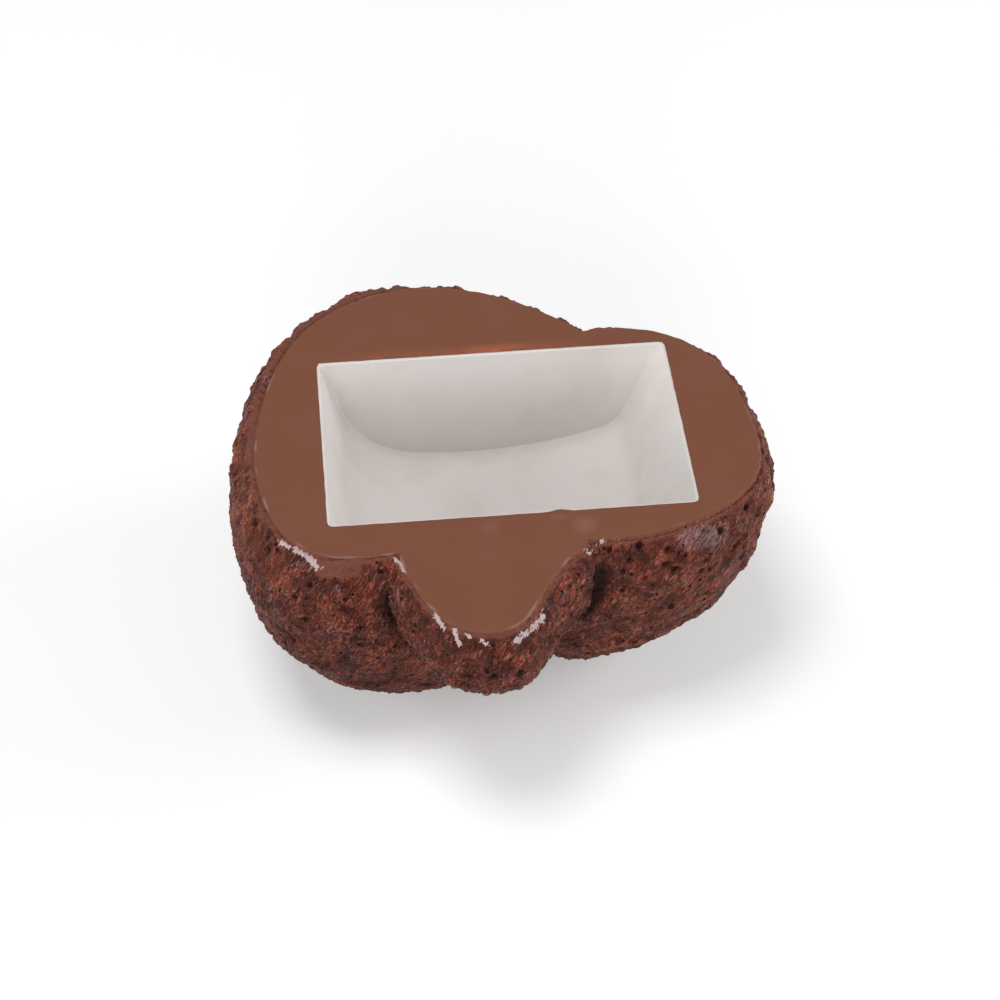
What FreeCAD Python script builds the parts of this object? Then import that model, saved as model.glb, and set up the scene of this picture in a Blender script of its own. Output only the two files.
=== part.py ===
import FreeCAD, Part
import math
import os

import Sketcher
from FreeCAD import Vector

os.makedirs("parts", exist_ok=True)
doc = FreeCAD.newDocument("key_hider")

# A cast key hider that lies on its crown, with the key compartment in its flat underside turned up.
# The origin is under the middle of the outline, on the ground. X runs along the long side of the
# compartment, Y towards its back wall and Z out of it. Lengths are in millimetres, angles in degrees.

sheet = doc.addObject("Spreadsheet::Sheet", "sizes")


def keep(name, value):
    """Write one driving size in the next free row of the sheet."""
    keep.row += 1
    sheet.set(f"A{keep.row}", name)
    sheet.set(f"B{keep.row}", str(value))
    sheet.setAlias(f"B{keep.row}", name)


keep.row = 0

SIZES = {
    # The whole hider: its height, and the sheet let into its flat face with a rim of casting round it
    "total_height": 47.5,
    "cover_thick": 1.5,
    "rim_width": 0.8,
    # The key compartment: its middle, its size at the opening and the shape of its trough
    "compartment_x": 0.9,
    "compartment_y": 2.3,
    "compartment_length": 68,
    "compartment_width": 45,
    "compartment_depth": 26.3,
    "left_draft": 16.5,
    "right_draft": 21.5,
    "left_corner_radius": 18,
    "right_corner_radius": 7.5,
    "floor_radius": 91,
    "floor_shift": 5,
    # The tray that lines it, and the bead round the tray's rim
    "tray_wall": 0.8,
    "tray_chamfer": 0.5,
    "tray_clearance": 0.1,
    "bead_width": 0.5,
}
for name, value in SIZES.items():
    keep(name, value)

# The pile is three lobes. The two big ones stand inset from the compartment's ends, and the front one
# stands before its front wall. A lobe's outline at the flat face is a closed curve whose guide points
# stand round its middle at equal angles, the first at "first_angle": "guides" are their distances from
# there, which the big lobes count from half the compartment's width on, so that they grow round a wider
# one. Under the face the lobe swells by its bulge down to its belly, which is a depth under the face,
# then rounds in to its bottom, which may rise off the ground and lean away from the middle. The half
# sizes along X and Y say how much the outline grows in proportion when it swells.
LOBES = {
    "left": {
        "inset": 21, "shift": 2, "half_x": 35, "half_y": 38, "bulge": 5, "belly": 13, "rise": 0,
        "lean_x": 7, "lean_y": -5, "first_angle": 18,
        "guides": [22.5, 20.5, 24.5, 20.5, 12.5, 15.5, 23.5, 8.5, 11.5, 7.5],
    },
    "right": {
        "inset": 13, "shift": 3, "half_x": 27, "half_y": 28, "bulge": 2, "belly": 6, "rise": 0,
        "lean_x": -8, "lean_y": -2, "first_angle": 0,
        "guides": [4.5, 6.5, 5.5, 3.5, 5.5, 7.5, 12.5, 15.5, 12.5, 13.5],
    },
    "front": {
        "inset": -7.5, "shift": -8, "half_x": 15, "half_y": 23, "bulge": 3, "belly": 8, "rise": 24,
        "lean_x": 3, "lean_y": 4, "first_angle": 0,
        "guides": [24, 27, 28, 23, 17, 15, 15, 23, 25, 15],
    },
}
# A lobe's middle, from the middle of the opening: its inset is from the wall beside it, and its shift
# runs along that wall
MIDDLES = {
    "left": ("sizes.left_inset - sizes.compartment_length / 2", "sizes.left_shift"),
    "right": ("sizes.compartment_length / 2 - sizes.right_inset", "sizes.right_shift"),
    "front": ("sizes.front_shift", "sizes.front_inset - sizes.compartment_width / 2"),
}
for lobe, sizes in LOBES.items():
    for name, value in sizes.items():
        if name == "guides":
            for number, distance in enumerate(value, 1):
                keep(f"{lobe}_guide_{number}", distance)
        else:
            keep(f"{lobe}_{name}", value)
doc.recompute()

# Sections above the belly, as shares of the way up to the face; the first stands clear above the face
UPPER_SECTIONS = (1.1, 0.5)
# Sections from the belly down, as shares of the way to the bottom
LOWER_SECTIONS = (0, 0.32, 0.58, 0.78, 0.91, 0.97)
# 2 would round a lobe's lower half as an ellipse, and more makes it fuller
FULLNESS = 2.3


def size(name):
    """The present value of a driving size."""
    return float(sheet.get(name))


def bind(thing, **sizes):
    """Tie properties of an object to expressions over the sheet."""
    for name, text in sizes.items():
        thing.setExpression(name, text)


def place(x, y, z):
    """The expression for an upright Placement."""
    return f"placement(vector({x}; {y}; {z}); rotation(0; 0; 0))"


def draw_outline(lobe):
    """A lobe's outline at the flat face, about the lobe's own middle."""
    sketch = doc.addObject("Sketcher::SketchObject", f"{lobe}_outline")
    core = "0" if lobe == "front" else "sizes.compartment_width / 2"
    past = 0 if lobe == "front" else size("compartment_width") / 2
    guides = [past + guide for guide in LOBES[lobe]["guides"]]
    step = 360 / len(guides)
    angles = [LOBES[lobe]["first_angle"] + step * number for number in range(len(guides))]
    points = [
        Vector(guide * math.cos(math.radians(angle)), guide * math.sin(math.radians(angle)), 0)
        for guide, angle in zip(guides, angles)
    ]
    curve = Part.BSplineCurve()
    curve.buildFromPoles(points, True, 3)
    outline = sketch.addGeometry(curve, False)
    for number, point in enumerate(points):
        mark = sketch.addGeometry(Part.Circle(point, Vector(0, 0, 1), 1), True)
        if number == 0:
            first_mark = mark
            sketch.addConstraint(Sketcher.Constraint("Weight", mark, 1.0))
        else:
            sketch.addConstraint(Sketcher.Constraint("Equal", first_mark, mark))
        pole = "InternalAlignment:Sketcher::BSplineControlPoint"
        sketch.addConstraint(Sketcher.Constraint(pole, mark, 3, outline, number))
        distance = f"({core} + sizes.{lobe}_guide_{number + 1})"
        angle = f"(sizes.{lobe}_first_angle + {step * number})"
        across = sketch.addConstraint(Sketcher.Constraint("DistanceX", -1, 1, mark, 3, point.x))
        along = sketch.addConstraint(Sketcher.Constraint("DistanceY", -1, 1, mark, 3, point.y))
        sketch.setExpression(f"Constraints[{across}]", f"{distance} * cos({angle}) * 1 mm")
        sketch.setExpression(f"Constraints[{along}]", f"{distance} * sin({angle}) * 1 mm")
    return sketch


def scale_outline(lobe, depth, swell, shrink=1, lean=0):
    """A level copy of a lobe's outline at a depth under the face: grown by "swell", then shrunk."""
    middle_x, middle_y = MIDDLES[lobe]
    section = doc.addObject("Part::Scale", f"{lobe}_section")
    section.Base = OUTLINES[lobe]
    section.Uniform = False
    bind(
        section,
        XScale=f"(1 + ({swell}) / sizes.{lobe}_half_x) * {shrink}",
        YScale=f"(1 + ({swell}) / sizes.{lobe}_half_y) * {shrink}",
        Placement=place(
            f"sizes.compartment_x + {middle_x} + sizes.{lobe}_lean_x * {lean}",
            f"sizes.compartment_y + {middle_y} + sizes.{lobe}_lean_y * {lean}",
            f"sizes.total_height - ({depth})",
        ),
    )
    return section


def build_lobe(lobe):
    """One lobe as a loft through level copies of its outline, still running past the flat face."""
    belly = f"sizes.{lobe}_belly"
    bulge = f"sizes.{lobe}_bulge"
    levels = [(f"{belly} * {1 - share}", f"{bulge} * {1 - share ** 2}") for share in UPPER_SECTIONS]
    for share in LOWER_SECTIONS:
        shrink = (1 - share ** FULLNESS) ** (1 / FULLNESS)
        drop = share / LOWER_SECTIONS[-1]
        depth = f"{belly} + (sizes.total_height - sizes.{lobe}_rise - {belly}) * {drop}"
        levels.append((depth, bulge, shrink, drop ** 2))
    loft = doc.addObject("Part::Loft", f"{lobe}_lobe")
    loft.Sections = [scale_outline(lobe, *level) for level in levels]
    loft.Solid = True
    loft.Ruled = True
    return loft


def raise_outline(lobe):
    """The part of a lobe's face that the cover takes up, as thick as the cover."""
    sheet_form = doc.addObject("Part::Loft", f"{lobe}_cover")
    depths = ("0", "sizes.cover_thick")
    sheet_form.Sections = [scale_outline(lobe, depth, "-sizes.rim_width") for depth in depths]
    sheet_form.Solid = True
    sheet_form.Ruled = True
    return sheet_form


def join(name, parts):
    """Several overlapping forms in one."""
    result = doc.addObject("Part::MultiFuse", name)
    result.Shapes = parts
    result.Refine = False
    return result


def combine(kind, name, base, tool):
    """A boolean of two objects: Cut or Common."""
    result = doc.addObject(f"Part::{kind}", name)
    result.Base = base
    result.Tool = tool
    result.Refine = False
    return result


def draw_trough(body, name, grow):
    """The compartment's section along X, with every wall moved out by "grow": two drafted end walls
    that run through corner arcs, wide at the left and tight at the right, into a barely curved floor."""
    sketch = body.newObject("Sketcher::SketchObject", name)
    plane = next(item for item in body.Origin.OriginFeatures if item.Role == "XZ_Plane")
    sketch.AttachmentSupport = [(plane, "")]
    sketch.MapMode = "FlatFace"

    def measure(text, kind, *items):
        """A measured constraint whose value follows an expression over the sheet."""
        index = sketch.addConstraint(Sketcher.Constraint(kind, *items))
        sketch.setExpression(f"Constraints[{index}]", text)

    out_of_plane = Vector(0, 0, 1)
    floor_radius = size("floor_radius")
    floor_middle = Vector(-size("floor_shift"), floor_radius - size("compartment_depth"), 0)
    walls = {}
    corners = {}
    contacts = {}
    for side, sign in (("left", -1), ("right", 1)):
        draft = math.radians(size(f"{side}_draft"))
        radius = size(f"{side}_corner_radius")
        top = Vector(sign * size("compartment_length") / 2, 0, 0)
        down = Vector(-sign * math.sin(draft), -math.cos(draft), 0)
        inward = Vector(-sign * math.cos(draft), math.sin(draft), 0)
        away = top + inward * radius - floor_middle
        slope = away.dot(down)
        run = math.sqrt(slope ** 2 - away.dot(away) + (floor_radius - radius) ** 2) - slope
        foot = top + down * run
        middle = foot + inward * radius
        on_wall = math.atan2(-inward.y, -inward.x)
        contacts[side] = math.atan2(middle.y - floor_middle.y, middle.x - floor_middle.x)
        circle = Part.Circle(middle, out_of_plane, radius)
        arc = Part.ArcOfCircle(circle, *sorted((on_wall, contacts[side])))
        walls[side] = sketch.addGeometry(Part.LineSegment(foot, top), False)
        corners[side] = sketch.addGeometry(arc, False)
        half = f"sizes.compartment_length / 2 + ({grow}) / cos(sizes.{side}_draft)"
        ends = (-1, 1, walls[side], 2) if side == "right" else (walls[side], 2, -1, 1)
        measure(f"({half}) * 1 mm", "DistanceX", *ends, abs(top.x))
        tilt = f"(90 - {sign} * sizes.{side}_draft) * 1 deg"
        measure(tilt, "Angle", walls[side], math.pi / 2 - sign * draft)
        measure(f"(sizes.{side}_corner_radius + {grow}) * 1 mm", "Radius", corners[side], radius)
        sketch.addConstraint(Sketcher.Constraint("PointOnObject", walls[side], 2, -1))
    circle = Part.Circle(floor_middle, out_of_plane, floor_radius)
    floor = sketch.addGeometry(Part.ArcOfCircle(circle, contacts["left"], contacts["right"]), False)
    mouth_end = Vector(size("compartment_length") / 2, 0, 0)
    mouth = sketch.addGeometry(Part.LineSegment(-mouth_end, mouth_end), False)
    for joint in (
        ("Tangent", walls["left"], 1, corners["left"], 1),
        ("Tangent", corners["left"], 2, floor, 1),
        ("Tangent", floor, 2, corners["right"], 1),
        ("Tangent", corners["right"], 2, walls["right"], 1),
        ("Coincident", mouth, 1, walls["left"], 2),
        ("Coincident", mouth, 2, walls["right"], 2),
    ):
        sketch.addConstraint(Sketcher.Constraint(*joint))
    measure("sizes.floor_shift * 1 mm", "DistanceX", floor, 3, -1, 1, size("floor_shift"))
    rise = "(sizes.floor_radius - sizes.compartment_depth) * 1 mm"
    measure(rise, "DistanceY", -1, 1, floor, 3, floor_middle.y)
    measure(f"(sizes.floor_radius + {grow}) * 1 mm", "Radius", floor, floor_radius)
    return sketch


def run_trough(body, kind, name, grow):
    """Run the trough's section across the body along Y, as a Pad or a Pocket."""
    feature = body.newObject(f"PartDesign::{kind}", name)
    feature.Profile = draw_trough(body, f"{name}_section", grow)
    feature.SideType = "Symmetric"
    bind(feature, Length=f"sizes.compartment_width + 2 * ({grow})")
    return feature


def compartment_body(name):
    """A body whose origin is the middle of the compartment's opening."""
    body = doc.addObject("PartDesign::Body", name)
    bind(body, Placement=place("sizes.compartment_x", "sizes.compartment_y", "sizes.total_height"))
    return body


# The pile: the three lobes in one, cut off level at the face
OUTLINES = {lobe: draw_outline(lobe) for lobe in LOBES}
lobes = join("lobes", [build_lobe(lobe) for lobe in LOBES])
wide = "4 * sizes.compartment_length"
below_face = doc.addObject("Part::Box", "below_face")
bind(below_face, Length=wide, Width=wide, Height="2 * sizes.total_height")
bind(below_face, Placement=place(f"-({wide}) / 2", f"-({wide}) / 2", "-sizes.total_height"))
pile = combine("Common", "pile", lobes, below_face)

# The cast body: the pile with a rebate for the cover and a socket for the tray
cover_form = join("cover_form", [raise_outline(lobe) for lobe in LOBES])
socket = compartment_body("socket")
run_trough(socket, "Pad", "socket_form", "sizes.tray_wall + sizes.tray_clearance")
cast_body = combine("Cut", "cast_body", combine("Cut", "rebated_pile", pile, cover_form), socket)

# The key tray: a thin liner whose end walls meet the trough in a small chamfer
tray = compartment_body("key_tray")
run_trough(tray, "Pad", "tray_outside", "sizes.tray_wall")
hollow = run_trough(tray, "Pocket", "tray_hollow", "0")
doc.recompute()


def meets_end_wall(edge):
    """Whether an edge of the hollow lies in a front or back wall, below the opening."""
    across = [abs(abs(vertex.Y) - size("compartment_width") / 2) for vertex in edge.Vertexes]
    return max(across) < 0.001 and edge.BoundBox.Center.z < -0.001


end_edges = [f"Edge{number}" for number, edge in enumerate(hollow.Shape.Edges, 1) if meets_end_wall(edge)]
easing = tray.newObject("PartDesign::Chamfer", "tray_easing")
easing.Base = (hollow, end_edges)
bind(easing, Size="sizes.tray_chamfer")

# The window in the cover: the tray's outside at the face, and the bead round it
REACH = {
    side: f"(sizes.compartment_length / 2 + sizes.tray_wall / cos(sizes.{side}_draft) + sizes.bead_width)"
    for side in ("left", "right")
}
REACH["across"] = "(sizes.compartment_width / 2 + sizes.tray_wall + sizes.bead_width)"
window = doc.addObject("Part::Box", "window")
bind(
    window,
    Length=f"{REACH['left']} + {REACH['right']}",
    Width=f"2 * {REACH['across']}",
    Height="sizes.cover_thick",
    Placement=place(
        f"sizes.compartment_x - {REACH['left']}",
        f"sizes.compartment_y - {REACH['across']}",
        "sizes.total_height - sizes.cover_thick",
    ),
)

# The base cover: a sheet that fills the rebate, level with the rim and with the tray's edge
base_cover = combine("Cut", "base_cover", cover_form, window)

# The sealant: what is left of the window round the tray
tray_form = compartment_body("tray_form")
run_trough(tray_form, "Pad", "tray_form_outside", "sizes.tray_wall")
sealant = combine("Cut", "tray_sealant", window, tray_form)

pieces = [cast_body, base_cover, tray, sealant]
doc.recompute()

for thing in doc.Objects:
    if "Invalid" in thing.State or "Error" in thing.State:
        raise RuntimeError(f"{thing.Name} failed: {thing.State}")
for piece in pieces:
    shape = piece.Shape
    if shape.isNull() or not shape.isValid() or len(shape.Solids) != 1:
        raise RuntimeError(f"{piece.Label} is not one valid solid")
    box = shape.optimalBoundingBox()
    extent = f"{box.XLength:.1f} x {box.YLength:.1f} x {box.ZLength:.1f} mm"
    print(f"{piece.Label}: {shape.Volume / 1000:.1f} cm3, {extent}")
    shape.exportStep(f"parts/{piece.Label}.step")
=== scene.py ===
import math

import bmesh
import bpy
from mathutils import Euler, Matrix, Vector, kdtree, noise
from mathutils.bvhtree import BVHTree


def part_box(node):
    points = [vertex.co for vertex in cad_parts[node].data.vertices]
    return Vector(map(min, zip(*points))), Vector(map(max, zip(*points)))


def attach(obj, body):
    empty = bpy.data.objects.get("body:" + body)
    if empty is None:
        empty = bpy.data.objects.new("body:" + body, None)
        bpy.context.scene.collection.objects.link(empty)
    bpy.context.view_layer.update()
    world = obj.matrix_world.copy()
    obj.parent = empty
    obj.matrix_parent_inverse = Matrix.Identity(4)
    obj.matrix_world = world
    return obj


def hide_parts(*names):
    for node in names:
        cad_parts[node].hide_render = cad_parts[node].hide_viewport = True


# A cast key hider lying on its crown, with its white key tray open at the top. Lengths are in
# millimetres and are turned to Blender's metres with MM.

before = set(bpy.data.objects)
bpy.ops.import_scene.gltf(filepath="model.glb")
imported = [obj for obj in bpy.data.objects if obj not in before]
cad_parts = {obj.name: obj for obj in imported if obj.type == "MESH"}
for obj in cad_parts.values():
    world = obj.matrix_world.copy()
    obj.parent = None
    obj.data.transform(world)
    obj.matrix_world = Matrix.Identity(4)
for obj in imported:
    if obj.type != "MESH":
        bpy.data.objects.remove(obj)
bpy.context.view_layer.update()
MM = 0.001
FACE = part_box("cast_body")[1].z / MM
WINDOW = [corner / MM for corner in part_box("tray_sealant")]
TRAY = [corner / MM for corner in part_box("key_tray")]
# The middle of the compartment's opening, which places on the hider are counted from
OPENING = Vector(((TRAY[0].x + TRAY[1].x) / 2, (TRAY[0].y + TRAY[1].y) / 2, FACE))


def smooth_step(low, high, value):
    """0 below low, 1 above high, and a soft turn between."""
    share = min(max((value - low) / (high - low), 0), 1)
    return share * share * (3 - 2 * share)


# The way the hide's brushed grain runs: up, to the right and a little back
GRAIN_WAY = Vector((0.55, 0.45, 0.7)).normalized()
GRAIN_TURN = Euler((0, -math.asin(GRAIN_WAY.z), math.atan2(GRAIN_WAY.y, GRAIN_WAY.x)))

# Camera

CAMERA_TURN = math.radians(-5.62)
CAMERA_TILT = math.radians(44.0)
CAMERA_DISTANCE = 463.3
CAMERA_TARGET = OPENING + Vector((-2.33, -18.96, 0))

camera = bpy.data.objects.new("camera", bpy.data.cameras.new("camera"))
camera.data.lens = 90
camera.data.sensor_width = 36
camera.data.clip_start = 0.01
back = Vector((
    math.sin(CAMERA_TURN) * math.cos(CAMERA_TILT),
    -math.cos(CAMERA_TURN) * math.cos(CAMERA_TILT),
    math.sin(CAMERA_TILT),
))
camera_place = CAMERA_TARGET + back * CAMERA_DISTANCE
camera.matrix_world = (
    Matrix.Translation(camera_place * MM) @ back.to_track_quat("Z", "Y").to_matrix().to_4x4()
)
bpy.context.scene.collection.objects.link(camera)
bpy.context.scene.camera = camera

# Materials


def colour(text):
    """An sRGB hex colour as linear red, green, blue and alpha."""
    shares = [int(text[start:start + 2], 16) / 255 for start in (1, 3, 5)]
    return [s / 12.92 if s <= 0.04045 else ((s + 0.055) / 1.055) ** 2.4 for s in shares] + [1]


def add(tree, kind, settings=(), sockets=()):
    """Add a node: its own settings, then each input's value or the output that feeds it."""
    node = tree.nodes.new(f"ShaderNode{kind}")
    for name, value in dict(settings).items():
        setattr(node, name, value)
    for name, value in dict(sockets).items():
        if isinstance(value, bpy.types.NodeSocket):
            tree.links.new(value, node.inputs[name])
        else:
            node.inputs[name].default_value = value
    return node


def new_material(name):
    """A material with an empty tree and its output node."""
    material = bpy.data.materials.new(name)
    material.use_nodes = True
    material.node_tree.nodes.clear()
    return material, material.node_tree


def millimetres(tree):
    """Object coordinates in millimetres."""
    place = add(tree, "TexCoord").outputs["Object"]
    scale = add(tree, "VectorMath", {"operation": "SCALE"}, {"Vector": place, "Scale": 1 / MM})
    return scale.outputs["Vector"]


# Numbers of the Mix node's colour sockets: it holds a set of A and B for each kind of value
MIX_A, MIX_B, MIX_OUT = 6, 7, 2


def gritty_resin():
    """Cast polyester resin with sand in its face coat, stained red-brown and wiped with a dark
    wash: crumbs and streaky grain, pin holes, brick patches where the stain is thin, and a
    low lacquer shine. Painted shade darkens the cracks, low places, pin holes, pits and creases,
    and painted highlights of greyish mauve lie on the ridges and streaks."""
    material, tree = new_material("stained_gritty_cast_resin")
    place = millimetres(tree)
    kept = {name: add(tree, "Attribute", {"attribute_name": name}).outputs["Fac"]
            for name in ("relief", "hollow", "chipped", "paint", "warm", "sheen_patch", "crumbly")}

    # Everything small is bent a little, so that no cell has a straight edge
    bend = add(tree, "TexNoise", (), {"Vector": place, "Scale": 1 / 1.6, "Detail": 2.0}).outputs["Color"]
    bend = add(tree, "VectorMath", {"operation": "SCALE"}, {"Vector": bend, "Scale": 0.9}).outputs["Vector"]
    bent = add(tree, "VectorMath", {"operation": "ADD"}, {0: place, 1: bend}).outputs["Vector"]
    # Crumbs of 0.75 mm, drawn out to 1.6 mm along the brushed grain
    drawn = add(tree, "Mapping", {"vector_type": "TEXTURE"}, {
        "Vector": bent, "Rotation": GRAIN_TURN, "Scale": (1.6, 0.75, 0.75),
    }).outputs["Vector"]
    crumbs = add(tree, "TexVoronoi", {"feature": "F1"}, {"Vector": drawn, "Scale": 1.0})
    crumb_kind = add(tree, "SeparateColor", (), {"Color": crumbs.outputs["Color"]})
    crack = add(tree, "TexVoronoi", {"feature": "DISTANCE_TO_EDGE"}, {"Vector": drawn, "Scale": 1.0})
    crack = add(tree, "MapRange", (), {
        "Value": crack.outputs["Distance"], "From Min": 0.0, "From Max": 0.16, "To Min": 1.0, "To Max": 0.0,
    }).outputs["Result"]
    # Brushed streaks 0.45 mm wide and 2.4 mm long
    drawn = add(tree, "Mapping", {"vector_type": "TEXTURE"}, {
        "Vector": bent, "Rotation": GRAIN_TURN, "Scale": (2.4, 0.45, 0.45),
    }).outputs["Vector"]
    streak = add(tree, "TexNoise", (), {"Vector": drawn, "Scale": 1.0, "Detail": 2.0}).outputs["Fac"]
    # Stain patches of about 9 mm, brick patches of about 4 mm, sand of about 0.4 mm
    patch = add(tree, "TexNoise", (), {"Vector": place, "Scale": 1 / 9, "Detail": 3.0}).outputs["Fac"]
    brick = add(tree, "TexNoise", (), {"Vector": bent, "Scale": 1 / 3.6, "Detail": 3.0}).outputs["Fac"]
    sand = add(tree, "TexNoise", (), {"Vector": place, "Scale": 1 / 0.4, "Detail": 2.0}).outputs["Fac"]
    # Pin holes: one in each 1.7 mm cell, up to 0.5 mm in radius
    holes = add(tree, "TexVoronoi", {"feature": "F1"}, {"Vector": bent, "Scale": 1 / 1.7})
    reach = add(tree, "SeparateColor", (), {"Color": holes.outputs["Color"]}).outputs["Red"]
    radius = add(tree, "MapRange", (), {
        "Value": reach, "From Min": 0.3, "From Max": 1.0, "To Min": 0.0, "To Max": 0.36,
    }).outputs["Result"]
    rim = add(tree, "Math", {"operation": "MULTIPLY"}, {0: radius, 1: 0.5}).outputs["Value"]
    hole = add(tree, "MapRange", (), {
        "Value": holes.outputs["Distance"], "From Min": rim, "From Max": radius, "To Min": 1.0, "To Max": 0.0,
    }).outputs["Result"]

    patch_share = add(tree, "MapRange", (), {
        "Value": patch, "From Min": 0.42, "From Max": 0.62, "To Max": 0.7,
    }).outputs["Result"]
    warm_share = add(tree, "Math", {"operation": "ADD", "use_clamp": True}, {
        0: patch_share, 1: kept["warm"],
    }).outputs["Value"]
    stain = add(tree, "Mix", {"data_type": "RGBA"}, {
        0: warm_share, MIX_A: colour("#7d4237"), MIX_B: colour("#984b38"),
    }).outputs[MIX_OUT]
    brick_edge = add(tree, "Math", {"operation": "MULTIPLY_ADD"}, {
        0: kept["warm"], 1: 0.12, 2: brick,
    }).outputs["Value"]
    brick_edge = add(tree, "Math", {"operation": "MULTIPLY_ADD"}, {
        0: crumb_kind.outputs["Red"], 1: 0.14, 2: brick_edge,
    }).outputs["Value"]
    brick_share = add(tree, "MapRange", (), {
        "Value": brick_edge, "From Min": 0.57, "From Max": 0.7, "To Max": 0.85,
    }).outputs["Result"]
    stain = add(tree, "Mix", {"data_type": "RGBA"}, {
        0: brick_share, MIX_A: stain, MIX_B: colour("#b86249"),
    }).outputs[MIX_OUT]
    # The dark wash, in single crumbs, in streaks and in clouds; in the cracks and in every low place it is also
    # painted shade
    wash = add(tree, "MapRange", (), {
        "Value": crumb_kind.outputs["Green"], "From Min": 0.45, "From Max": 0.9, "To Max": 0.8,
    }).outputs["Result"]
    dark_streak = add(tree, "MapRange", (), {
        "Value": streak, "From Min": 0.34, "From Max": 0.52, "To Min": 0.9, "To Max": 0.0,
    }).outputs["Result"]
    low_wash_and_shade = add(tree, "MapRange", (), {
        "Value": kept["relief"], "From Min": -0.7, "From Max": 0.1, "To Min": 0.8, "To Max": 0.0,
    }).outputs["Result"]
    crack_wash_and_shade = add(tree, "Math", {"operation": "MULTIPLY"}, {0: crack, 1: 0.75}).outputs["Value"]
    dark_cloud = add(tree, "MapRange", (), {
        "Value": brick, "From Min": 0.36, "From Max": 0.49, "To Min": 0.85, "To Max": 0.0,
    }).outputs["Result"]
    for share in (dark_streak, low_wash_and_shade, crack_wash_and_shade, dark_cloud):
        wash = add(tree, "Math", {"operation": "MAXIMUM"}, {0: wash, 1: share}).outputs["Value"]
    stain = add(tree, "Mix", {"data_type": "RGBA"}, {
        0: wash, MIX_A: stain, MIX_B: colour("#32140d"),
    }).outputs[MIX_OUT]
    # Painted highlight: ridges and streaks lightened to pale mauve, where the lacquer's shine would catch the
    # light
    ridge = add(tree, "Math", {"operation": "MULTIPLY"}, {0: kept["relief"], 1: 0.45}).outputs["Value"]
    ridge = add(tree, "Math", {"operation": "MULTIPLY_ADD"}, {0: sand, 1: 1.0, 2: ridge}).outputs["Value"]
    ridge = add(tree, "Math", {"operation": "MULTIPLY_ADD"}, {0: streak, 1: 2.2, 2: ridge}).outputs["Value"]
    painted_sheen = add(tree, "MapRange", (), {
        "Value": ridge, "From Min": 1.85, "From Max": 2.25, "To Max": 0.75,
    }).outputs["Result"]
    stain = add(tree, "Mix", {"data_type": "RGBA"}, {
        0: painted_sheen, MIX_A: stain, MIX_B: colour("#a07f7c"),
    }).outputs[MIX_OUT]
    # Painted sheen: a mauve-grey patch under the right rim, lightened like a reflection
    sheen_share = add(tree, "MapRange", (), {"Value": streak, "From Min": 0.35, "From Max": 0.6}).outputs["Result"]
    sheen_share = add(tree, "Math", {"operation": "MULTIPLY"}, {0: sheen_share, 1: kept["sheen_patch"]}).outputs["Value"]
    sheen_share = add(tree, "Math", {"operation": "MULTIPLY"}, {0: sheen_share, 1: 0.7}).outputs["Value"]
    stain = add(tree, "Mix", {"data_type": "RGBA"}, {
        0: sheen_share, MIX_A: stain, MIX_B: colour("#9c8485"),
    }).outputs[MIX_OUT]
    # Painted shade: the pits, pin holes, creases between the lobes and the lower part of the right lobe are
    # darkened to near black
    hollow = add(tree, "MapRange", (), {
        "Value": kept["hollow"], "From Min": 0.15, "From Max": 0.7, "To Max": 0.9,
    }).outputs["Result"]
    hollow = add(tree, "Math", {"operation": "MAXIMUM"}, {0: hollow, 1: hole}).outputs["Value"]
    stain = add(tree, "Mix", {"data_type": "RGBA"}, {
        0: hollow, MIX_A: stain, MIX_B: colour("#1c0c0a"),
    }).outputs[MIX_OUT]
    # Paint of the face that ran on to the rim, then chips where the pale gel coat shows
    stain = add(tree, "Mix", {"data_type": "RGBA"}, {
        0: kept["paint"], MIX_A: stain, MIX_B: colour("#744334"),
    }).outputs[MIX_OUT]
    fleck = add(tree, "Math", {"operation": "MULTIPLY"}, {0: kept["crumbly"], 1: 0.12}).outputs["Value"]
    torn = add(tree, "Math", {"operation": "MULTIPLY_ADD"}, {
        0: kept["chipped"], 1: 1.3, 2: fleck,
    }).outputs["Value"]
    torn = add(tree, "Math", {"operation": "MULTIPLY_ADD"}, {0: streak, 1: 2.0, 2: torn}).outputs["Value"]
    torn = add(tree, "Math", {"operation": "MULTIPLY_ADD"}, {0: sand, 1: 1.0, 2: torn}).outputs["Value"]
    chip = add(tree, "MapRange", (), {"Value": torn, "From Min": 2.2, "From Max": 2.3}).outputs["Result"]
    stain = add(tree, "Mix", {"data_type": "RGBA"}, {
        0: chip, MIX_A: stain, MIX_B: colour("#c4b0b0"),
    }).outputs[MIX_OUT]

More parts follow.
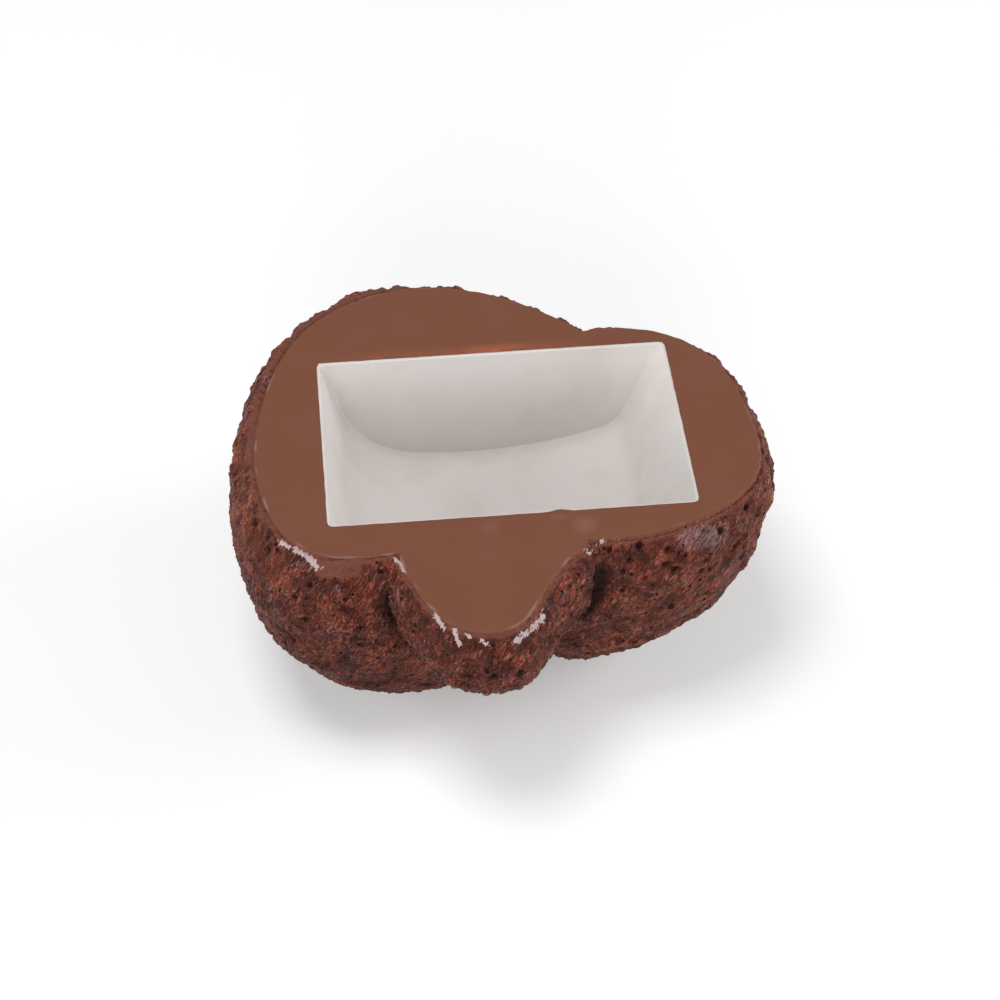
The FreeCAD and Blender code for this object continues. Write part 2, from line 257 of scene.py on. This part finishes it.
    # Bump height in millimetres
    height = add(tree, "Math", {"operation": "MULTIPLY"}, {0: streak, 1: 0.8}).outputs["Value"]
    height = add(tree, "Math", {"operation": "MULTIPLY_ADD"}, {0: sand, 1: 0.35, 2: height}).outputs["Value"]
    height = add(tree, "Math", {"operation": "MULTIPLY_ADD"}, {0: hole, 1: -0.6, 2: height}).outputs["Value"]
    height = add(tree, "Math", {"operation": "MULTIPLY_ADD"}, {0: crack, 1: -0.2, 2: height}).outputs["Value"]
    height = add(tree, "Math", {"operation": "MULTIPLY_ADD"}, {
        0: crumb_kind.outputs["Blue"], 1: 0.22, 2: height,
    }).outputs["Value"]
    smoothed = add(tree, "Math", {"operation": "MAXIMUM"}, {0: kept["paint"], 1: chip}).outputs["Value"]
    strength = add(tree, "MapRange", (), {"Value": smoothed, "To Min": 1.0, "To Max": 0.25}).outputs["Result"]
    bump = add(tree, "Bump", (), {"Strength": strength, "Distance": MM, "Height": height}).outputs["Normal"]
    roughness = add(tree, "MapRange", (), {"Value": sand, "To Min": 0.3, "To Max": 0.6}).outputs["Result"]
    roughness = add(tree, "Mix", {"data_type": "FLOAT"}, {0: hollow, 2: roughness, 3: 0.85}).outputs[0]
    shader = add(tree, "BsdfPrincipled", (), {
        "Base Color": stain, "Roughness": roughness, "IOR": 1.45, "Specular IOR Level": 0.18, "Normal": bump,
    })
    add(tree, "OutputMaterial", (), {"Surface": shader.outputs["BSDF"]})
    return material


# Faint smudges on the face: place from the middle of the opening, reach and strength
SMUDGES = (((12.5, -27), 3, 0.7), ((-5, -26), 2.5, 0.4), ((8, -24), 2, 0.4))


def face_paint():
    """Brush-levelled acrylic paint on a thin plastic sheet: one even chocolate brown with a satin
    shine, and only a breath of purple bloom and brush marks."""
    material, tree = new_material("satin_acrylic_paint")
    place = millimetres(tree)
    # Bloom in clouds of about 12 mm, brush marks 0.8 mm wide and 9 mm long
    bloom = add(tree, "TexNoise", (), {"Vector": place, "Scale": 1 / 12, "Detail": 3.0}).outputs["Fac"]
    share = add(tree, "MapRange", (), {
        "Value": bloom, "From Min": 0.5, "From Max": 0.75, "To Max": 0.15,
    }).outputs["Result"]
    for spot, reach, strength in SMUDGES:
        far = add(tree, "VectorMath", {"operation": "DISTANCE"}, {
            0: place, 1: OPENING + Vector((spot[0], spot[1], 0)),
        }).outputs["Value"]
        smudge = add(tree, "MapRange", (), {
            "Value": far, "From Min": reach, "From Max": 0.3 * reach, "To Min": 0.0, "To Max": strength,
        }).outputs["Result"]
        share = add(tree, "Math", {"operation": "MAXIMUM"}, {0: share, 1: smudge}).outputs["Value"]
    tint = add(tree, "Mix", {"data_type": "RGBA"}, {
        0: share, MIX_A: colour("#794a37"), MIX_B: colour("#8a5c50"),
    }).outputs[MIX_OUT]
    # Rust of the sealant shows through behind the window, most of all in the middle
    sides = add(tree, "SeparateXYZ", (), {"Vector": place})
    off = add(tree, "Math", {"operation": "SUBTRACT"}, {
        0: sides.outputs["Y"], 1: WINDOW[1].y,
    }).outputs["Value"]
    off = add(tree, "Math", {"operation": "ABSOLUTE"}, {0: off}).outputs["Value"]
    behind = add(tree, "MapRange", (), {
        "Value": off, "From Min": 2.0, "From Max": 0.0, "To Max": 1.0,
    }).outputs["Result"]
    for middle, reach, strength in ((-6, 26, 0.3), (1, 7, 0.6)):
        off = add(tree, "Math", {"operation": "SUBTRACT"}, {
            0: sides.outputs["X"], 1: OPENING.x + middle,
        }).outputs["Value"]
        off = add(tree, "Math", {"operation": "ABSOLUTE"}, {0: off}).outputs["Value"]
        share = add(tree, "MapRange", (), {
            "Value": off, "From Min": reach, "From Max": 0.6 * reach, "To Min": 0.0, "To Max": strength,
        }).outputs["Result"]
        share = add(tree, "Math", {"operation": "MULTIPLY"}, {0: share, 1: behind}).outputs["Value"]
        tint = add(tree, "Mix", {"data_type": "RGBA"}, {
            0: share, MIX_A: tint, MIX_B: colour("#a8623f"),
        }).outputs[MIX_OUT]
    # Painted highlight: along the lip the paint is lightened to lilac pink, most at the front right
    lip_highlight = add(tree, "Attribute", {"attribute_name": "lip_highlight"}).outputs["Fac"]
    tint = add(tree, "Mix", {"data_type": "RGBA"}, {
        0: lip_highlight, MIX_A: tint, MIX_B: colour("#94706a"),
    }).outputs[MIX_OUT]
    turned = add(tree, "Mapping", (), {
        "Vector": place, "Rotation": (0, 0, math.radians(12)), "Scale": (1 / 9, 1 / 0.8, 1),
    }).outputs["Vector"]
    marks = add(tree, "TexNoise", (), {"Vector": turned, "Scale": 1.0, "Detail": 2.0}).outputs["Fac"]
    height = add(tree, "Math", {"operation": "MULTIPLY"}, {0: marks, 1: 0.02}).outputs["Value"]
    bump = add(tree, "Bump", (), {"Strength": 0.6, "Distance": MM, "Height": height}).outputs["Normal"]
    roughness = add(tree, "MapRange", (), {"Value": marks, "To Min": 0.5, "To Max": 0.62}).outputs["Result"]
    shader = add(tree, "BsdfPrincipled", (), {
        "Base Color": tint, "Roughness": roughness, "IOR": 1.45, "Specular IOR Level": 0.2, "Normal": bump,
    })
    add(tree, "OutputMaterial", (), {"Surface": shader.outputs["BSDF"]})
    return material


def liner_plastic():
    """Vacuum-formed white polystyrene: satin, with faint warm handling marks and the slight
    waviness of a thin formed sheet."""
    material, tree = new_material("white_formed_polystyrene")
    place = millimetres(tree)
    cloud = add(tree, "TexNoise", (), {"Vector": place, "Scale": 1 / 10, "Detail": 3.0}).outputs["Fac"]
    share = add(tree, "MapRange", (), {"Value": cloud, "From Min": 0.45, "From Max": 0.75, "To Max": 0.6}).outputs["Result"]
    tint = add(tree, "Mix", {"data_type": "RGBA"}, {
        0: share, MIX_A: colour("#dfdad7"), MIX_B: colour("#d6cbc4"),
    }).outputs[MIX_OUT]
    wave = add(tree, "TexNoise", (), {"Vector": place, "Scale": 1 / 6, "Detail": 1.0}).outputs["Fac"]
    height = add(tree, "Math", {"operation": "MULTIPLY"}, {0: wave, 1: 0.12}).outputs["Value"]
    bump = add(tree, "Bump", (), {"Strength": 0.5, "Distance": MM, "Height": height}).outputs["Normal"]
    roughness = add(tree, "MapRange", (), {"Value": cloud, "To Min": 0.4, "To Max": 0.55}).outputs["Result"]
    shader = add(tree, "BsdfPrincipled", (), {
        "Base Color": tint, "Roughness": roughness, "IOR": 1.5, "Normal": bump,
    })
    add(tree, "OutputMaterial", (), {"Surface": shader.outputs["BSDF"]})
    return material


def rust_sealant():
    """Rubbery sealant, smoothed with a finger: rust orange where it shows at the back, painted
    over with the brown of the face elsewhere."""
    material, tree = new_material("smoothed_acrylic_sealant")
    place = millimetres(tree)
    rust = add(tree, "Attribute", {"attribute_name": "rust"}).outputs["Fac"]
    blotch = add(tree, "TexNoise", (), {"Vector": place, "Scale": 1 / 3, "Detail": 3.0}).outputs["Fac"]
    share = add(tree, "MapRange", (), {"Value": blotch, "From Min": 0.4, "From Max": 0.65}).outputs["Result"]
    bare = add(tree, "Mix", {"data_type": "RGBA"}, {
        0: share, MIX_A: colour("#8a523c"), MIX_B: colour("#b0613f"),
    }).outputs[MIX_OUT]
    tint = add(tree, "Mix", {"data_type": "RGBA"}, {
        0: rust, MIX_A: colour("#794a37"), MIX_B: bare,
    }).outputs[MIX_OUT]
    height = add(tree, "Math", {"operation": "MULTIPLY"}, {0: blotch, 1: 0.1}).outputs["Value"]
    bump = add(tree, "Bump", (), {"Strength": 0.7, "Distance": MM, "Height": height}).outputs["Normal"]
    shader = add(tree, "BsdfPrincipled", (), {
        "Base Color": tint, "Roughness": 0.55, "IOR": 1.45, "Specular IOR Level": 0.2, "Normal": bump,
    })
    add(tree, "OutputMaterial", (), {"Surface": shader.outputs["BSDF"]})
    return material


# Pieces


def merged_copy(node):
    """A bmesh of a CAD node with its doubled corners merged."""
    form = bmesh.new()
    form.from_mesh(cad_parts[node].data)
    bmesh.ops.remove_doubles(form, verts=form.verts, dist=0.002 * MM)
    return form


def finish_piece(form, name, node, material):
    """Turn a bmesh into a smooth-shaded piece that stands for a CAD node."""
    mesh = bpy.data.meshes.new(name)
    for face in form.faces:
        face.smooth = True
    form.to_mesh(mesh)
    form.free()
    mesh.materials.append(material)
    piece = bpy.data.objects.new(name, mesh)
    bpy.context.scene.collection.objects.link(piece)
    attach(piece, "root")
    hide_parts(node)
    return piece


def keep_crisp(form, degrees):
    """Mark the edges that turn by more than an angle, so that smooth shading stops there."""
    for edge in form.edges:
        edge.smooth = len(edge.link_faces) == 2 and edge.calc_face_angle() < math.radians(degrees)


def in_window(point, room=0.0):
    """Whether a point in millimetres lies inside the cover's window, grown by some room."""
    return all(WINDOW[0][i] - room < point[i] < WINDOW[1][i] + room for i in (0, 1))


# The cover's outer edge, as points every 0.25 mm with the way out of the face at each. The inner
# corner between the front and right lobes is rounded off.

NOTCH = OPENING + Vector((12, -32, 0))
cover = merged_copy("base_cover")
cover_walls = [face for face in cover.faces if abs(face.normal.z) < 0.5
               and not in_window(face.calc_center_median() / MM, 0.05)]
edge_points = []
for wall in cover_walls:
    out = Vector((wall.normal.x, wall.normal.y, 0)).normalized()
    for edge in wall.edges:
        start, end = (vert.co / MM for vert in edge.verts)
        if min(start.z, end.z) > FACE - 0.01:
            steps = max(1, round((end - start).length / 0.25))
            for step in range(steps):
                edge_points.append((start.lerp(end, (step + 0.5) / steps), out))
edge_tree = kdtree.KDTree(len(edge_points))
for index, (point, out) in enumerate(edge_points):
    edge_tree.insert((point.x, point.y, 0), index)
edge_tree.balance()


def from_edge(point):
    """How far outside the cover's edge a point lies, in millimetres, and the way out there."""
    way = Vector((0, 0, 0))
    reach = 1.5 + 4 * smooth_step(7, 3, Vector((point.x - NOTCH.x, point.y - NOTCH.y)).length)
    for near, index, distance in edge_tree.find_range((point.x, point.y, 0), reach):
        way += edge_points[index][1]
    near, index, distance = edge_tree.find((point.x, point.y, 0))
    out = edge_points[index][1]
    if way.length < 0.5:
        way = out
    side = (Vector((point.x, point.y, 0)) - near).dot(out)
    return math.copysign(distance, side), way.normalized()


# The casting: the CAD solid in small even faces, with lumps, crumbs and pits in its hide

FACE_SKIN = 0.12
HIDE_FACES = 190_000


def pits(place, spacing, radius, share):
    """The depth, 0 to 1, of round pits strewn one to a cell, of which a share is kept."""
    distances, seeds = noise.voronoi(place / spacing)
    if noise.cell(seeds[0] * 7.3) > share:
        return 0
    reach = radius * (0.6 + 0.8 * noise.cell(seeds[0] * 3.1 + Vector((9, 4, 2)))) / spacing
    return max(0, 1 - (distances[0] / reach) ** 2)


def hide_relief(place, front, right):
    """How far the hide stands out from the CAD surface, in millimetres, before pits are sunk."""
    rear = smooth_step(0, 14, place.y) * (1 - right)
    lumps = noise.noise(place / 10) * 0.5 + noise.noise(place / 4.5 + Vector((5, 1, 8))) * 0.5
    lumps += noise.noise(place / 2.6 + Vector((1, 9, 2))) * (0.25 + 0.45 * rear)
    along = GRAIN_FRAME @ (place + noise.noise_vector(place / 3) * 0.8)
    flakes = noise.noise(Vector((along.x / 3.2, along.y / 1.3, along.z / 1.3)))
    distances, seeds = noise.voronoi(Vector((along.x / 2.1, along.y / 1.4, along.z / 1.4)))
    crumb = min(distances[1] - distances[0], 0.5) * 2 - 0.6
    grit = noise.noise(place / 1.1 + Vector((3, 7, 1)))
    return lumps + flakes * 0.38 + crumb * (0.42 + 0.12 * front - 0.14 * right) + grit * (0.2 + 0.2 * front)


# Marks are given where they show in the plane of the face, from the middle of the opening. Chips,
# where the stain has come off along the rim: start, end and half width
CHIPS = (
    ((-43, -26), (-41.5, -27.5), 0.8),
    ((-40.5, -28), (-38.5, -30), 1.0),
    ((-38, -30.5), (-36.5, -33), 1.3),
    ((-22.5, -32), (-21, -35.5), 0.8),
    ((-16.5, -46.5), (-15.5, -50.5), 0.9),
    ((-13.5, -51), (-13, -54.5), 0.8),
    ((-11.5, -52.5), (-11, -53), 0.6),
    ((-9, -54), (-8, -55), 0.7),
    ((-3, -54.5), (2, -49.5), 1.3),
    ((11.5, -33), (15.5, -31), 1.0),
)
# Large pits in the right lobe: middle and radius
LARGE_PITS = (
    ((22, -33), 1.3), ((27, -35), 1.2), ((27.5, -40), 1.6), ((37, -31.5), 1.4),
    ((43, -25.5), 1.0), ((41, -33), 1.2), ((33, -38), 1.0), ((19.5, -37), 1.0),
)
# Where thin stain lets the brick colour through: middle, reach and strength
WARM_PATCHES = (((7, -46), 6, 2.2), ((-31, -41), 6, 1.3), ((24, -44), 9, 0.7), ((1, -52), 5, 0.5))
# Painted sheen: a grey patch under the right rim; and face paint that ran down at the left
SHEEN_PATCH = ((31, -31.5), (36, -32.5), 3.5)
PAINT_RUN = ((-35.5, -33.5), (-30.5, -34), 2.0)

def near_line(place, start, end, reach):
    """1 on the line between two places, falling to 0 at its reach."""
    step = end - start
    share = min(max((place - start).dot(step) / step.length_squared, 0), 1)
    return max(0, 1 - (place - start - step * share).length / reach)


def notch_fill(place):
    """How much further out the rim stands round the rounded inner corner."""
    return 1.1 * smooth_step(4.5, 0, Vector((place.x - NOTCH.x, place.y - NOTCH.y)).length)


GRAIN_FRAME = GRAIN_TURN.to_matrix().inverted()
casting = merged_copy("cast_body")
casting_sides = BVHTree.FromBMesh(casting)


def on_hide(spot):
    """The place on the casting that the camera sees at a spot in the plane of the face."""
    way = OPENING + Vector((spot[0], spot[1], 0)) - camera_place
    return casting_sides.ray_cast(camera_place * MM, way)[0] / MM


chips = [(on_hide(start), on_hide(end), reach) for start, end, reach in CHIPS]
large_pits = [(on_hide(spot), radius) for spot, radius in LARGE_PITS]
warm_patches = [(on_hide(spot), reach, strength) for spot, reach, strength in WARM_PATCHES]
sheen_patch = (on_hide(SHEEN_PATCH[0]), on_hide(SHEEN_PATCH[1]), SHEEN_PATCH[2])
paint_run = (on_hide(PAINT_RUN[0]), on_hide(PAINT_RUN[1]), PAINT_RUN[2])

# The creases where two lobes meet, as points every 0.5 mm along the inward edges
crease_points = []
for edge in casting.edges:
    if len(edge.link_faces) == 2 and edge.calc_face_angle_signed() < -math.radians(25):
        start, end = (vert.co / MM for vert in edge.verts)
        hidden = all(TRAY[0][i] - 2 < (start[i] + end[i]) / 2 < TRAY[1][i] + 2 for i in (0, 1, 2))
        if not hidden and min(start.z, end.z) < FACE - 2.2:
            steps = max(1, round((end - start).length / 0.5))
            crease_points += [start.lerp(end, (step + 0.5) / steps) for step in range(steps)]
crease_tree = kdtree.KDTree(len(crease_points))
for index, point in enumerate(crease_points):
    crease_tree.insert(point, index)
crease_tree.balance()
source = bpy.data.meshes.new("casting_source")
casting.to_mesh(source)
casting.free()
former = bpy.data.objects.new("casting_former", source)
bpy.context.scene.collection.objects.link(former)
grid = former.modifiers.new("even_faces", "REMESH")
grid.mode = "VOXEL"
grid.voxel_size = 0.47 * MM
even = bpy.data.meshes.new_from_object(former.evaluated_get(bpy.context.evaluated_depsgraph_get()))
casting = bmesh.new()
casting.from_mesh(even)
casting.normal_update()
layers = {name: casting.verts.layers.float.new(name)
          for name in ("relief", "hollow", "chipped", "paint", "warm", "sheen_patch", "crumbly")}
moves = []
for vert in casting.verts:
    place = vert.co / MM
    depth = FACE - place.z
    inside_tray = all(TRAY[0][i] - 1.2 < place[i] < TRAY[1][i] + 1.2 for i in (0, 1, 2))
    beyond, out = from_edge(place) if depth < 3 else (9, None)
    if inside_tray or (depth < 2.2 and beyond < 0.25):
        continue
    front = smooth_step(-32, -40, place.y)
    right = smooth_step(14, 24, place.x) * (1 - front)
    left = smooth_step(-8, -24, place.x) * (1 - front)
    height = hide_relief(place, front, right)
    pit = pits(place, 3.2, 0.75, 0.5 + 0.25 * front)
    pit = max(pit, pits(place + Vector((40, 0, 0)), 5.5, 1.2, 0.35 + 0.3 * right))
    crease = smooth_step(3.5, 0, crease_tree.find(place)[2])
    crease *= smooth_step(2, 6, depth - 2.5 * smooth_step(10, 0, place.x))
    if depth < 12:
        for middle, radius in large_pits:
            far = (place - middle).length * (1 + 0.7 * noise.noise(place / 1.3))
            pit = max(pit, 1.1 - (far / (0.75 * radius)) ** 2)
        vert[layers["chipped"]] = max(near_line(place, *chip) for chip in chips)
        vert[layers["sheen_patch"]] = smooth_step(0, 0.7, near_line(place, *sheen_patch))
        vert[layers["paint"]] = smooth_step(0.0, 0.3, near_line(place, *paint_run) - 0.1 * height)
    warm = 0.45 * right + 0.5 * smooth_step(12, 2, place.z) * (1 - right)
    # Painted light: the far left flank is warmed toward brick, lighter as if lit from that side
    warm += 0.9 * smooth_step(-34, -44, place.x) * smooth_step(-22, -12, place.y) * smooth_step(20, 8, depth)
    for middle, reach, strength in warm_patches:
        warm += strength * smooth_step(reach, 0, (place - middle).length)
    vert[layers["warm"]] = warm
    vert[layers["crumbly"]] = front
    vert[layers["relief"]] = height
    # Painted shade for the pits, along the creases and on the lower part of the right lobe
    vert[layers["hollow"]] = max(pit, 0.8 * crease, 0.34 * right * smooth_step(22, 8, place.z))
    if vert.normal.z > 0.5 and depth < 0.4:
        sink = FACE_SKIN + 0.5 * smooth_step(0.45, 1.0, beyond) + 0.3 * pit
        moves.append((vert, out * notch_fill(place) * smooth_step(0, 0.8, beyond) - Vector((0, 0, sink))))
        edge_paint = smooth_step(1.1, 0.6, beyond + 0.3 * height)
    else:
        round_off = 0.5 * smooth_step(1.0, 0, depth)
        fill = notch_fill(place) * smooth_step(10, 2, depth)
        rear_left = left * smooth_step(-4, 8, place.y) * smooth_step(0.2, 1.2, depth)
        rear_left *= smooth_step(10, 4, depth)
        out_by = 0.3 + 0.25 * left + 1.1 * rear_left + fill - round_off
        move = out_by + height - 0.9 * pit - 0.9 * crease * (1 - fill)
        way = vert.normal.copy()
        if fill > 0:
            way = way.lerp(from_edge(place)[1], min(1, fill)).normalized()
        moves.append((vert, way * move))
        edge_paint = smooth_step(1.3, 0.5, depth + 0.5 * height)
    vert[layers["paint"]] = max(vert[layers["paint"]], edge_paint)
for vert, move in moves:
    vert.co += move * MM
    vert.co.z = min(vert.co.z, (FACE - 0.02) * MM)
casting.to_mesh(even)
casting.free()
former.modifiers.clear()
former.data = even
thin = former.modifiers.new("fewer_faces", "DECIMATE")
thin.ratio = min(1, HIDE_FACES / (2 * len(even.polygons)))
thinned = bpy.data.meshes.new_from_object(former.evaluated_get(bpy.context.evaluated_depsgraph_get()))
bpy.data.objects.remove(former)
casting = bmesh.new()
casting.from_mesh(thinned)
for vert in casting.verts:
    vert.co.z = max(vert.co.z, 0)
finish_piece(casting, "gritty_casting", "cast_body", gritty_resin())

# The cover: the CAD sheet with a thin painted lip that laps over the casting's rim to an uneven edge

bmesh.ops.delete(cover, geom=cover_walls, context="FACES")
open_edges = [edge for edge in cover.edges if edge.is_boundary]
bmesh.ops.subdivide_edges(cover, edges=open_edges, cuts=5)
open_edges = [edge for edge in cover.edges if edge.is_boundary]
upper = [edge for edge in open_edges if edge.verts[0].co.z > (FACE - 0.1) * MM]
face_edges = list(upper)
lower = [edge for edge in open_edges if edge.verts[0].co.z <= (FACE - 0.1) * MM]
lip_highlight_layer = cover.verts.layers.float.new("lip_highlight")
for reach, drop in ((0.3, 0.0), (0.18, 0.05), (0.07, 0.2), (-0.1, FACE_SKIN), (-0.6, FACE_SKIN)):
    ring = bmesh.ops.extrude_edge_only(cover, edges=upper)["geom"]
    upper = [item for item in ring if isinstance(item, bmesh.types.BMEdge)]
    for vert in (item for item in ring if isinstance(item, bmesh.types.BMVert)):
        place = vert.co / MM
        beyond, out = from_edge(place)
        wander = 0.2 * noise.noise(place / 2.2) + notch_fill(place) if reach == 0.3 else 0
        # Painted highlight along the lip, strongest at the front right
        front_right = smooth_step(-4, 2, place.x) * smooth_step(-28, -34, place.y)
        lip_highlight = noise.noise(place / 3.5 + Vector((2, 6, 9))) * 2 - 0.35 + 0.9 * front_right
        vert[lip_highlight_layer] = min(max(lip_highlight, 0), 1) if reach > 0 else 0
        place += out * (reach + wander)
        place.z = FACE - drop
        vert.co = place * MM
bmesh.ops.bridge_loops(cover, edges=upper + lower)
bmesh.ops.recalc_face_normals(cover, faces=cover.faces)
keep_crisp(cover, 50)
for edge in face_edges:
    edge.smooth = False
finish_piece(cover, "painted_cover", "base_cover", face_paint())

# The tray: the CAD liner with its edges eased, and its rim let down under the sealant

LAP = 0.15

tray = merged_copy("key_tray")
bmesh.ops.dissolve_limit(tray, angle_limit=math.radians(0.5), verts=tray.verts, edges=tray.edges)
for vert in tray.verts:
    if vert.co.z > (FACE - 0.01) * MM:
        vert.co.z -= LAP * MM
crisp = [edge for edge in tray.edges if len(edge.link_faces) == 2
         and edge.calc_face_angle() > math.radians(50)]
bmesh.ops.bevel(tray, geom=crisp, offset=0.2 * MM, segments=3, profile=0.5, affect="EDGES", material=-1)
keep_crisp(tray, 40)
finish_piece(tray, "white_liner", "key_tray", liner_plastic())

# The bead: a ring of sealant round the tray that laps over its rim, uneven along the back

CORNER_CUTS = 99


def set_in(place, by, corner):
    """A point on the bead's outer edge moved in towards the tray, round rounded corners."""
    inner = [min(max(place[i], WINDOW[0][i] + by), WINDOW[1][i] - by) for i in (0, 1)]
    core = [min(max(inner[i], WINDOW[0][i] + by + corner), WINDOW[1][i] - by - corner) for i in (0, 1)]
    offset = Vector((inner[0] - core[0], inner[1] - core[1], 0))
    if offset.length > corner:
        offset *= corner / offset.length
    return Vector((core[0] + offset.x, core[1] + offset.y, place.z))


bead = bmesh.new()
middle = (WINDOW[0] + WINDOW[1]) / 2
half = (WINDOW[1] - WINDOW[0]) / 2
corners = [bead.verts.new(Vector((middle.x + x * half.x, middle.y + y * half.y, WINDOW[0].z)) * MM)
           for x, y in ((-1, -1), (1, -1), (1, 1), (-1, 1))]
for i in range(4):
    bead.edges.new((corners[i], corners[(i + 1) % 4]))
bmesh.ops.subdivide_edges(bead, edges=bead.edges, cuts=CORNER_CUTS)
rust_layer = bead.verts.layers.float.new("rust")
first_ring = list(bead.edges)
ring_edges = first_ring
starts = {vert: vert.co / MM for vert in bead.verts}
# Across the bead: how far in from the window's edge, the drop under the face, and how far it wanders
GAP = TRAY[0].x - WINDOW[0].x
ACROSS = (
    (0.0, 0.0, 0), (GAP - 0.1, 0.0, 0), (GAP + 0.35, 0.0, 0.7), (GAP + 0.48, 0.02, 1), (GAP + 0.55, 0.07, 1),
    (GAP + 0.53, 0.13, 1), (GAP + 0.45, LAP, 1), (GAP + 0.02, LAP, 0), (GAP, WINDOW[1].z - WINDOW[0].z, 0),
)
for by, drop, wander_share in ACROSS:
    made = bmesh.ops.extrude_edge_only(bead, edges=ring_edges)
    ring_edges = [item for item in made["geom"] if isinstance(item, bmesh.types.BMEdge)]
    fresh = [item for item in made["geom"] if isinstance(item, bmesh.types.BMVert)]
    starts = {vert: next(starts[edge.other_vert(vert)] for edge in vert.link_edges
                         if edge.other_vert(vert) in starts) for vert in fresh}
    for vert, start in starts.items():
        rear = smooth_step(WINDOW[1].y - 1.0, WINDOW[1].y - 0.1, start.y)
        front = smooth_step(WINDOW[0].y + 1.0, WINDOW[0].y + 0.1, start.y)
        wander = noise.noise(Vector((start.x / 2.6, start.y / 2.6, 4)))
        wander += 0.5 * noise.noise(Vector((start.x / 0.9, start.y / 0.9, 7)))
        bulge = 0.5 * front * math.exp(-((start.x - OPENING.x - 8.5) / 1.5) ** 2)
        shift = max(-0.42, -0.18 - 0.2 * rear + (0.06 + 0.14 * rear) * wander + bulge)
        reach = by + wander_share * shift
        place = set_in(start, reach, 0.01 + 1.2 * wander_share)
        place.z = FACE - drop
        vert.co = place * MM
        glow = math.exp(-((start.x - OPENING.x) / 7) ** 2)
        ends = smooth_step(-33, -28, start.x) * smooth_step(26, 14, start.x)
        vert[rust_layer] = rear * ends * min(1, 0.3 + 0.8 * glow + 0.4 * wander)
bmesh.ops.bridge_loops(bead, edges=first_ring + ring_edges)
bmesh.ops.recalc_face_normals(bead, faces=bead.faces)
keep_crisp(bead, 50)
finish_piece(bead, "sealant_bead", "tray_sealant", rust_sealant())

# Stage


def backdrop():
    """Matt white paper: white to the camera and in reflections, but it still takes the shadow, and
    throws little light back up at the hider. Far off, where the lamps don't reach, it glows white."""
    material, tree = new_material("white_paper")
    paths = add(tree, "LightPath")
    seen = add(tree, "Math", {"operation": "MAXIMUM"}, {
        0: paths.outputs["Is Camera Ray"], 1: paths.outputs["Is Glossy Ray"],
    }).outputs["Value"]
    seen = add(tree, "Math", {"operation": "MAXIMUM"}, {
        0: seen, 1: paths.outputs["Is Transmission Ray"],
    }).outputs["Value"]
    place = add(tree, "TexCoord").outputs["Object"]
    away = add(tree, "VectorMath", {"operation": "LENGTH"}, {0: place}).outputs["Value"]
    lift = add(tree, "MapRange", (), {
        "Value": away, "From Min": 0.25, "From Max": 0.9, "To Min": 0.24, "To Max": 1.0,
    }).outputs["Result"]
    lift = add(tree, "Math", {"operation": "MULTIPLY"}, {0: seen, 1: lift}).outputs["Value"]
    shade = add(tree, "Mix", {"data_type": "RGBA"}, {
        0: seen, MIX_A: colour("#c0c0c0"), MIX_B: colour("#f4f4f4"),
    }).outputs[MIX_OUT]
    paper = add(tree, "BsdfDiffuse", (), {"Color": shade}).outputs["BSDF"]
    glow = add(tree, "Emission", (), {"Color": (1, 1, 1, 1), "Strength": lift}).outputs["Emission"]
    both = add(tree, "AddShader", (), {0: paper, 1: glow}).outputs["Shader"]
    add(tree, "OutputMaterial", (), {"Surface": both})
    return material


floor_form = bmesh.new()
bmesh.ops.create_grid(floor_form, x_segments=1, y_segments=1, size=4.0)
floor_mesh = bpy.data.meshes.new("floor")
floor_form.to_mesh(floor_mesh)
floor_form.free()
floor_mesh.materials.append(backdrop())
floor = bpy.data.objects.new("floor", floor_mesh)
bpy.context.scene.collection.objects.link(floor)

world = bpy.data.worlds.new("studio")
world.use_nodes = True
world.node_tree.nodes.clear()
paths = add(world.node_tree, "LightPath")
shown = add(world.node_tree, "Math", {"operation": "MAXIMUM"}, {
    0: paths.outputs["Is Camera Ray"], 1: paths.outputs["Is Glossy Ray"],
}).outputs["Value"]
shown = add(world.node_tree, "Math", {"operation": "MAXIMUM"}, {
    0: shown, 1: paths.outputs["Is Transmission Ray"],
}).outputs["Value"]
strength = add(world.node_tree, "MapRange", (), {"Value": shown, "To Min": 0.2, "To Max": 1.0}).outputs["Result"]
sky = add(world.node_tree, "Background", (), {"Color": (1, 1, 1, 1), "Strength": strength}).outputs["Background"]
add(world.node_tree, "OutputWorld", (), {"Surface": sky})
bpy.context.scene.world = world


def add_lamp(name, place, size, power):
    """A square soft box that points at the hider."""
    lamp = bpy.data.objects.new(name, bpy.data.lights.new(name, "AREA"))
    lamp.data.shape = "SQUARE"
    lamp.data.size = size
    lamp.data.energy = power
    lamp.location = place
    lamp.rotation_euler = Vector(place).to_track_quat("Z", "Y").to_euler()
    bpy.context.scene.collection.objects.link(lamp)


add_lamp("top_box", (-0.2, -0.04, 1.0), 0.4, 4.1)
add_lamp("front_box", (-0.15, -1.1, 0.4), 0.6, 6.2)
add_lamp("left_box", (-0.95, 0.1, 0.35), 0.5, 2.2)
add_lamp("right_box", (0.95, 0.1, 0.35), 0.5, 4.9)

bpy.context.scene.view_settings.view_transform = "Standard"
